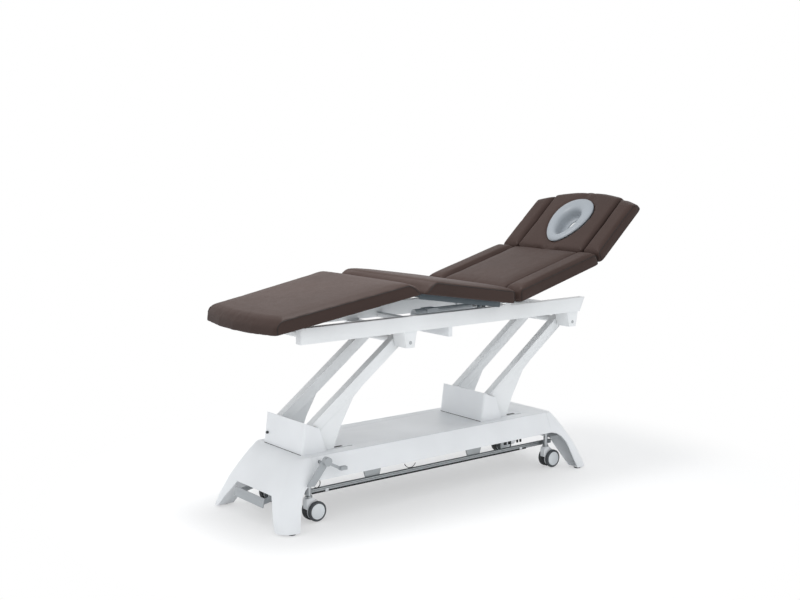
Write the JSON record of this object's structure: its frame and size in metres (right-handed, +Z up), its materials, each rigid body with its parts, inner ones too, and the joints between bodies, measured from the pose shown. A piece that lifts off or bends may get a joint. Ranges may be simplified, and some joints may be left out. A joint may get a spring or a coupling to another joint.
{
  "type": "treatment table",
  "caption": "Motorised height-adjustable treatment table with a padded top in hinged leg, seat, back and head sections, a face opening, foot control bars and lowering castors.",
  "frame": {"origin": "on the floor, under the middle of the table's length and width", "axes": "+X towards the head end, +Y across the table to its far side, +Z up"},
  "size_m": [2.086, 0.6554, 1.285],
  "materials": {
    "white_powder_coat": "satin",
    "white_cover": "smooth satin moulding",
    "frame_paint": "satin",
    "grey_lacquer": "silver-grey lacquer",
    "slate_paint": "slate-grey lacquer",
    "black_plastic": "fine-grained",
    "black_rubber": "matt",
    "brown_upholstery": "soft artificial leather",
    "silver_grey_moulding": "smooth",
    "bare_steel": "ground",
    "bronze": "plain",
    "anodised_aluminium": "brushed",
    "castor_tyre": "matt"
  },
  "bodies": {
    "base": {"base_frame": "frame_paint", "tower_uprights": "frame_paint", "base_cover": "white_cover", "foot_end_shell": "white_cover", "head_end_shell": "white_cover", "foot_tower_cover": "white_cover", "head_tower_cover": "white_cover", "floor_feet": "black_rubber", "tower_shafts": "bare_steel", "lift_motor": "black_plastic", "control_unit": "black_plastic", "mains_inlet": "black_plastic"},
    "foot_arms": {"foot_lift_arms": "white_powder_coat", "foot_arm_bushes": "bronze"},
    "head_arms": {"head_lift_arms": "white_powder_coat", "head_arm_bushes": "bronze"},
    "tie_rod": {"lift_tie_rod": "bare_steel"},
    "lift_rod": {"lift_motor_rod": "bare_steel"},
    "upper_frame": {"near_rail": "white_powder_coat", "far_rail": "white_powder_coat", "rail_end_caps": "white_cover", "frame_cross_members": "white_powder_coat", "arm_lugs": "white_powder_coat", "upper_arm_shafts": "bare_steel", "frame_hinge_ears": "white_powder_coat", "junction_box": "white_cover", "back_motor": "black_plastic", "seat_motor": "black_plastic"},
    "seat": {"seat_cushion": "brown_upholstery", "seat_frame": "slate_paint", "section_hinge_pins": "bare_steel", "leg_hinge_pins": "bare_steel"},
    "leg": {"leg_cushion": "brown_upholstery", "leg_frame": "white_powder_coat", "leg_bumpers": "black_rubber"},
    "back": {"back_cushion": "brown_upholstery", "back_bolsters": "brown_upholstery", "back_frame": "white_powder_coat", "head_spring": "anodised_aluminium"},
    "head": {"head_cushion": "brown_upholstery", "head_bolsters": "brown_upholstery", "face_insert": "silver_grey_moulding", "head_frame": "white_powder_coat", "head_hinge_pins": "bare_steel"},
    "spring_rod": {"head_spring_rod": "bare_steel"},
    "back_rod": {"back_motor_rod": "bare_steel"},
    "seat_rod": {"seat_motor_rod": "bare_steel"},
    "near_bar": {"near_foot_bar": "anodised_aluminium"},
    "far_bar": {"far_foot_bar": "anodised_aluminium"},
    "pedal": {"castor_pedal": "grey_lacquer"},
    "castor_lift": {"castor_stems": "bare_steel"},
    "side_lever": {"side_lever": "grey_lacquer"},
    "castor_1": {"castor_fork_1": "white_cover"},
    "wheel_1": {"castor_wheel_1": "castor_tyre"},
    "castor_2": {"castor_fork_2": "white_cover"},
    "wheel_2": {"castor_wheel_2": "castor_tyre"},
    "castor_3": {"castor_fork_3": "white_cover"},
    "wheel_3": {"castor_wheel_3": "castor_tyre"},
    "castor_4": {"castor_fork_4": "white_cover"},
    "wheel_4": {"castor_wheel_4": "castor_tyre"}
  },
  "joints": [
    {"name": "table_lift", "type": "hinge", "parent": "base", "child": "foot_arms", "pos_m": [-0.74697, 0, 0.364], "axis": [0, -1, 0], "range_deg": [-40, 18]},
    {"name": "head_arm_lift", "type": "hinge", "parent": "base", "child": "head_arms", "pos_m": [0.22203, 0, 0.364], "axis": [0, -1, 0], "range_deg": [-40, 18]},
    {"name": "tie_rod_pivot", "type": "hinge", "parent": "foot_arms", "child": "tie_rod", "pos_m": [-0.68746, 0, 0.20049], "axis": [0, -1, 0], "range_deg": [-18, 40]},
    {"name": "lift_motor_stroke", "type": "slide", "parent": "base", "child": "lift_rod", "axis": [1, 0, 0], "range_m": [-0.116, 0.053]},
    {"name": "frame_level", "type": "hinge", "parent": "foot_arms", "child": "upper_frame", "pos_m": [-0.31172, 0, 0.69199], "axis": [0, -1, 0], "range_deg": [-18, 40]},
    {"name": "seat_rise", "type": "hinge", "parent": "upper_frame", "child": "seat", "pos_m": [0.20498, 0, 0.86199], "axis": [0, 1, 0], "range_deg": [-9, 3.5]},
    {"name": "leg_fall", "type": "hinge", "parent": "seat", "child": "leg", "pos_m": [-0.32683, 0, 0.89863], "axis": [0, 1, 0], "range_deg": [-7.3, 18.7]},
    {"name": "back_rise", "type": "hinge", "parent": "upper_frame", "child": "back", "pos_m": [0.20498, 0, 0.86199], "axis": [0, -1, 0], "range_deg": [-15.5, 44.5]},
    {"name": "head_tilt", "type": "hinge", "parent": "back", "child": "head", "pos_m": [0.73309, 0, 0.95967], "axis": [0, -1, 0], "range_deg": [-66.5, 4.5]},
    {"name": "head_spring_stroke", "type": "slide", "parent": "back", "child": "spring_rod", "axis": [0.9636, 0, 0.2672], "range_m": [-0.0437, 0.0031]},
    {"name": "back_motor_stroke", "type": "slide", "parent": "upper_frame", "child": "back_rod", "axis": [1, 0, 0], "range_m": [-0.0195, 0.0558]},
    {"name": "seat_motor_stroke", "type": "slide", "parent": "upper_frame", "child": "seat_rod", "axis": [-1, 0, 0], "range_m": [-0.0119, 0.0047]},
    {"name": "near_foot_bar_press", "type": "slide", "parent": "base", "child": "near_bar", "axis": [0, 0, 1], "range_m": [-0.005, 0.005], "stiffness_N_per_m": 60000},
    {"name": "far_foot_bar_press", "type": "slide", "parent": "base", "child": "far_bar", "axis": [0, 0, 1], "range_m": [-0.005, 0.005], "stiffness_N_per_m": 60000},
    {"name": "pedal_press", "type": "hinge", "parent": "base", "child": "pedal", "pos_m": [-0.85697, 0, 0.118], "axis": [0, -1, 0], "range_deg": [0, 12]},
    {"name": "castor_lowering", "type": "slide", "parent": "base", "child": "castor_lift", "axis": [0, 0, -1], "range_m": [0, 0.0181]},
    {"name": "side_lever_turn", "type": "hinge", "parent": "base", "child": "side_lever", "pos_m": [-0.76697, -0.25, 0.252], "axis": [0, -1, 0], "range_deg": [0, 12]},
    {"name": "castor_swivel_1", "type": "hinge", "parent": "castor_lift", "child": "castor_1", "pos_m": [-0.79797, -0.167, 0.1], "axis": [0, 0, 1], "continuous": true},
    {"name": "castor_roll_1", "type": "hinge", "parent": "castor_1", "child": "wheel_1", "pos_m": [-0.77297, -0.167, 0.044], "axis": [0, 1, 0], "continuous": true},
    {"name": "castor_swivel_2", "type": "hinge", "parent": "castor_lift", "child": "castor_2", "pos_m": [-0.79797, 0.167, 0.1], "axis": [0, 0, 1], "continuous": true},
    {"name": "castor_roll_2", "type": "hinge", "parent": "castor_2", "child": "wheel_2", "pos_m": [-0.77297, 0.167, 0.044], "axis": [0, 1, 0], "continuous": true},
    {"name": "castor_swivel_3", "type": "hinge", "parent": "castor_lift", "child": "castor_3", "pos_m": [0.54103, -0.167, 0.1], "axis": [0, 0, 1], "continuous": true},
    {"name": "castor_roll_3", "type": "hinge", "parent": "castor_3", "child": "wheel_3", "pos_m": [0.56603, -0.167, 0.044], "axis": [0, 1, 0], "continuous": true},
    {"name": "castor_swivel_4", "type": "hinge", "parent": "castor_lift", "child": "castor_4", "pos_m": [0.54103, 0.167, 0.1], "axis": [0, 0, 1], "continuous": true},
    {"name": "castor_roll_4", "type": "hinge", "parent": "castor_4", "child": "wheel_4", "pos_m": [0.56603, 0.167, 0.044], "axis": [0, 1, 0], "continuous": true}
  ],
  "couplings": [
    {"joint": "head_arm_lift", "follows": "table_lift", "ratio": 1},
    {"joint": "tie_rod_pivot", "follows": "table_lift", "ratio": -1},
    {"joint": "frame_level", "follows": "table_lift", "ratio": -1},
    {"joint": "lift_motor_stroke", "follows": "table_lift", "m_per_rad": 0.1646},
    {"joint": "leg_fall", "follows": "seat_rise", "ratio": -2.07},
    {"joint": "seat_motor_stroke", "follows": "seat_rise", "m_per_rad": 0.07473},
    {"joint": "back_motor_stroke", "follows": "back_rise", "m_per_rad": 0.07162},
    {"joint": "head_spring_stroke", "follows": "head_tilt", "m_per_rad": 0.03748},
    {"joint": "castor_lowering", "follows": "pedal_press", "m_per_rad": 0.08594},
    {"joint": "side_lever_turn", "follows": "pedal_press", "ratio": 1}
  ]
}
